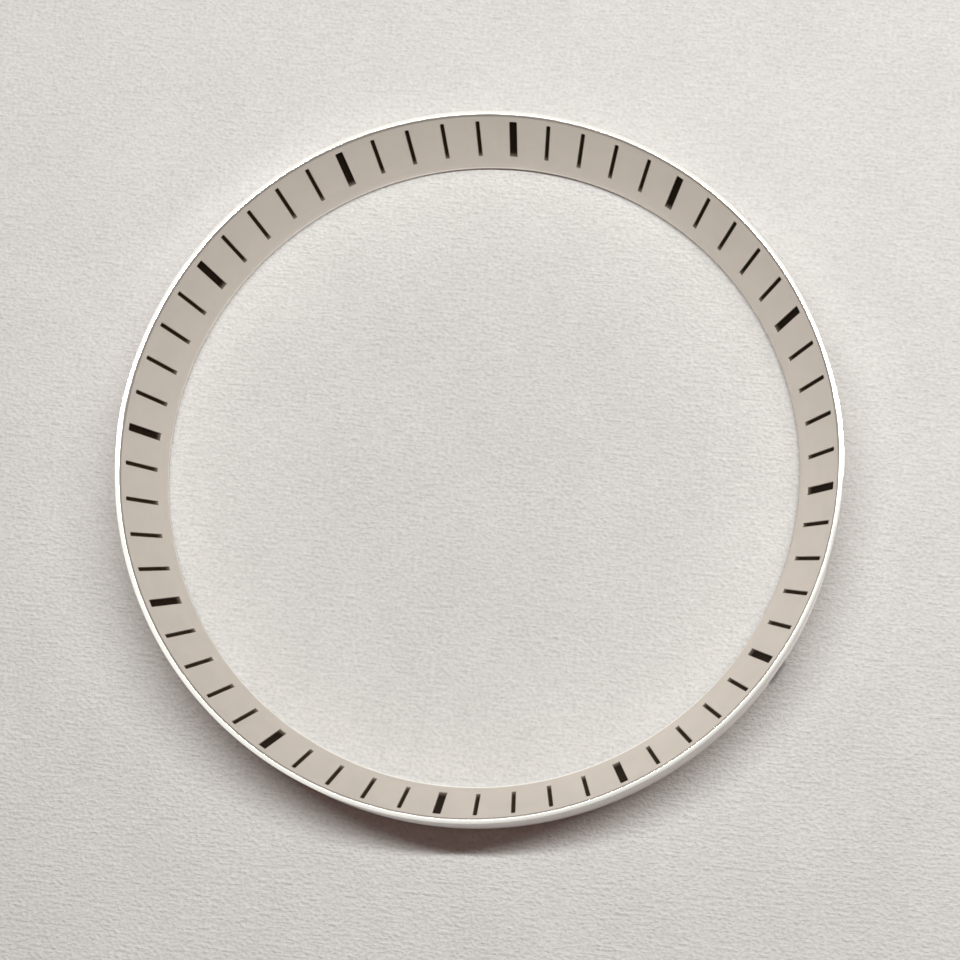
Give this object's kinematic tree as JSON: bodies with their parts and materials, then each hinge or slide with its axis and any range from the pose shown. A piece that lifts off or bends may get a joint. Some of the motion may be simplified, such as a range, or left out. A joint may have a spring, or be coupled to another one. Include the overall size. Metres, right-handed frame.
{
  "type": "watch chapter ring",
  "caption": "Flat-based turned metal chapter ring with an inward-sloping cone that carries a recessed, lacquer-filled minute track, and a locating notch in its outer wall.",
  "frame": {"origin": "on the ring's axis, in the plane of its flat base", "axes": "+Z along the ring's axis, from the dial side to the crystal side; +Y towards the twelve o'clock mark, +X towards three o'clock"},
  "size_m": [0.0315, 0.0314, 0.0028],
  "materials": {
    "ring_metal": "fine-turned satin on the cone, bright on the top land, plain turned on the walls and the base",
    "mark_lacquer": "brown-black lacquer, semi-gloss, set below the metal"
  },
  "bodies": {
    "root": {"chapter_ring": "ring_metal", "hour_mark_12": "mark_lacquer", "hour_mark_01": "mark_lacquer", "hour_mark_02": "mark_lacquer", "hour_mark_03": "mark_lacquer", "hour_mark_04": "mark_lacquer", "hour_mark_05": "mark_lacquer", "hour_mark_06": "mark_lacquer", "hour_mark_07": "mark_lacquer", "hour_mark_08": "mark_lacquer", "hour_mark_09": "mark_lacquer", "hour_mark_10": "mark_lacquer", "hour_mark_11": "mark_lacquer", "minute_marks_12_to_01": "mark_lacquer", "minute_marks_01_to_02": "mark_lacquer", "minute_marks_02_to_03": "mark_lacquer", "minute_marks_03_to_04": "mark_lacquer", "minute_marks_04_to_05": "mark_lacquer", "minute_marks_05_to_06": "mark_lacquer", "minute_marks_06_to_07": "mark_lacquer", "minute_marks_07_to_08": "mark_lacquer", "minute_marks_08_to_09": "mark_lacquer", "minute_marks_09_to_10": "mark_lacquer", "minute_marks_10_to_11": "mark_lacquer", "minute_marks_11_to_12": "mark_lacquer"}
  },
  "joints": []
}
